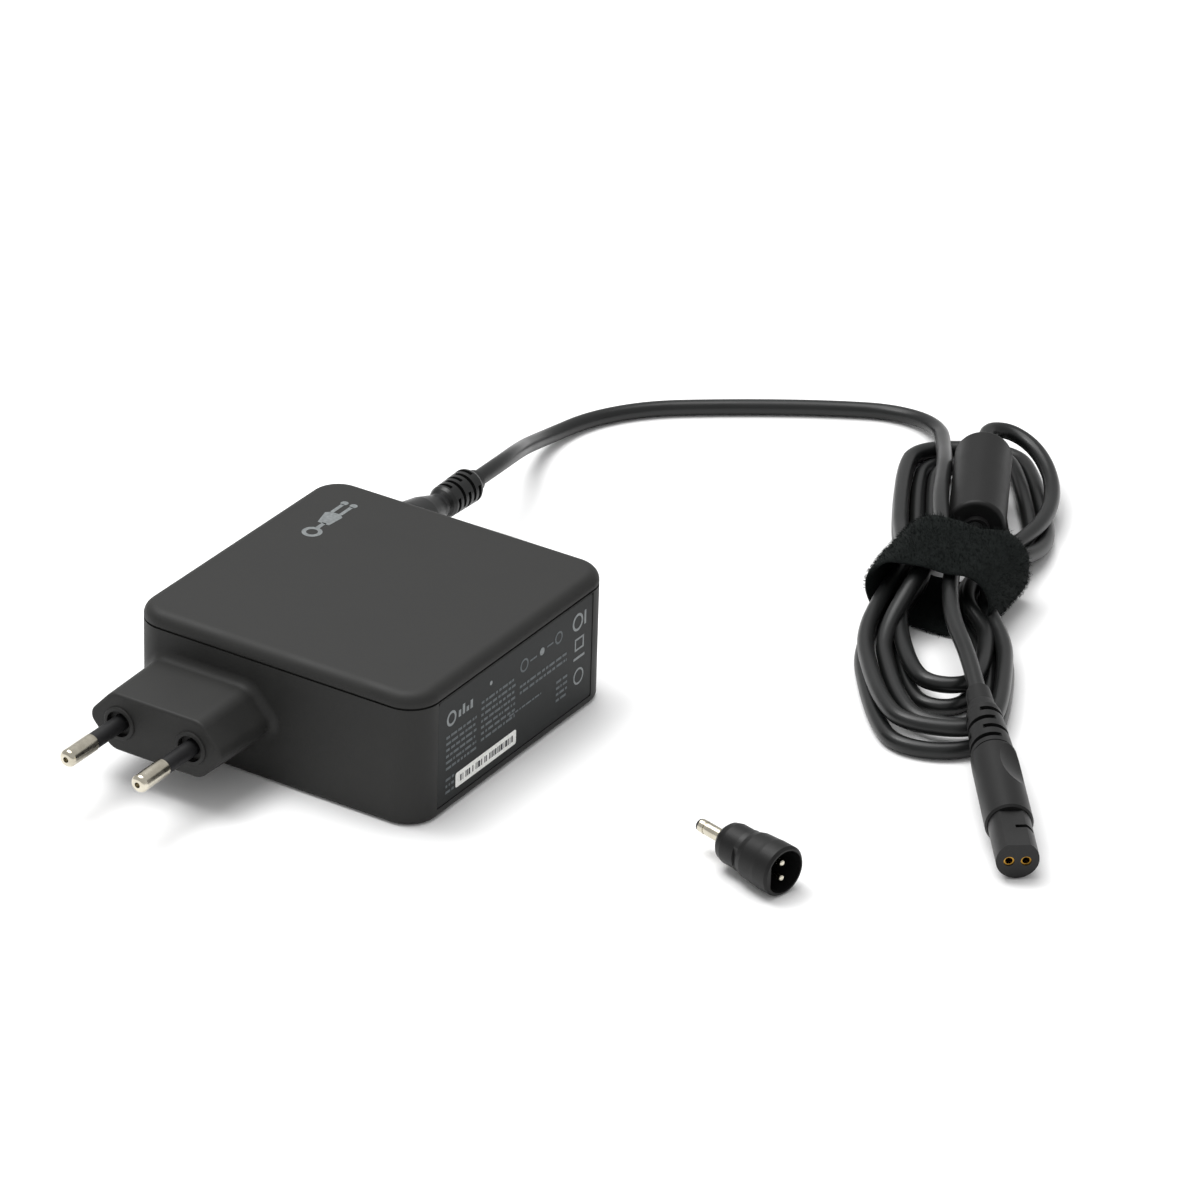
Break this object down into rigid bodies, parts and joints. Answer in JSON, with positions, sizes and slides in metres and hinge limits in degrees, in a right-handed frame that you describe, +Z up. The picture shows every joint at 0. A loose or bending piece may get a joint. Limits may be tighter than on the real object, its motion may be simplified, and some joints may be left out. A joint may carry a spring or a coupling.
{
  "type": "laptop power adapter",
  "caption": "Square plug-in laptop power adapter with round mains pins, a wound low-voltage cord tied with a strap, a ferrite sleeve, a two-pole connector and a loose adapter tip.",
  "frame": {"origin": "centre of the housing's resting face", "axes": "+Z up, -Y along the mains pins, +X towards the rating label, the cord leaves along +Y"},
  "size_m": [0.1922, 0.2653, 0.0314],
  "materials": {
    "case_plastic": "fine-textured black polycarbonate",
    "label_film": "satin printed film",
    "sticker_paper": "coated paper sticker",
    "carrier_plastic": "moulded nylon",
    "nickel_plate": "nickel plate on brass",
    "sleeve_plastic": "moulded nylon sleeve",
    "lead_blue": "PVC insulation",
    "lead_brown": "PVC insulation",
    "lead_red": "PVC insulation",
    "lead_black": "PVC insulation",
    "board_laminate": "glass-epoxy laminate with solder mask",
    "barrier_film": "polyester film",
    "glass_fuse": "clear glass tube with plated caps",
    "thermistor_coat": "dipped phenolic coat",
    "film_capacitor_case": "moulded polyester case",
    "ferrite": "sintered ferrite",
    "copper_wire": "enamelled copper wire",
    "chip_epoxy": "moulded epoxy with tinned legs",
    "capacitor_sleeve": "shrink sleeve on an aluminium can",
    "heatsink_aluminium": "bare sheet aluminium",
    "ceramic_coat": "dipped epoxy coat",
    "winding_tape": "polyester winding tape",
    "cord_pvc": "smooth satin PVC jacket",
    "strap_textile": "napped loop fabric",
    "overmould": "satin moulded PVC",
    "connector_plastic": "moulded glass-filled nylon",
    "gold_plate": "gold flash on phosphor bronze"
  },
  "bodies": {
    "adapter": {"lower_case": "case_plastic", "upper_cover": "case_plastic", "rating_label": "label_film", "barcode_label": "sticker_paper", "pin_carrier": "carrier_plastic", "pin_left": "nickel_plate", "pin_right": "nickel_plate", "pin_sleeve_left": "sleeve_plastic", "pin_sleeve_right": "sleeve_plastic", "mains_lead_left": "lead_blue", "mains_lead_right": "lead_brown", "circuit_board": "board_laminate", "insulation_sheet": "barrier_film", "fuse": "glass_fuse", "inrush_thermistor": "thermistor_coat", "x_capacitor": "film_capacitor_case", "choke_core": "ferrite", "choke_winding": "copper_wire", "bridge_rectifier": "chip_epoxy", "bulk_capacitor": "capacitor_sleeve", "primary_heatsink": "heatsink_aluminium", "switching_transistor": "chip_epoxy", "controller_chip": "chip_epoxy", "optocoupler": "chip_epoxy", "safety_capacitor": "ceramic_coat", "transformer_core": "ferrite", "transformer_winding": "winding_tape", "secondary_heatsink": "heatsink_aluminium", "output_rectifier": "chip_epoxy", "output_capacitor_1": "capacitor_sleeve", "output_capacitor_2": "capacitor_sleeve", "output_choke": "ferrite", "dc_lead_positive": "lead_red", "dc_lead_negative": "lead_black", "cord_boot": "cord_pvc", "cord_run": "cord_pvc", "cord_hank": "cord_pvc", "cord_tail": "cord_pvc", "cable_strap": "strap_textile", "ferrite_core": "ferrite", "ferrite_cover": "overmould", "connector_relief": "overmould", "connector_body": "overmould", "connector_nose": "connector_plastic", "connector_contacts": "gold_plate"},
    "tip": {"tip_body": "overmould", "tip_insert": "connector_plastic", "tip_pins": "nickel_plate", "tip_barrel": "nickel_plate", "tip_barrel_insulator": "connector_plastic", "tip_centre_contact": "gold_plate"}
  },
  "joints": [
    {"name": "tip_lift", "type": "slide", "parent": "adapter", "child": "tip", "axis": [0, 0, 1], "range_m": [0, 0.06]}
  ]
}
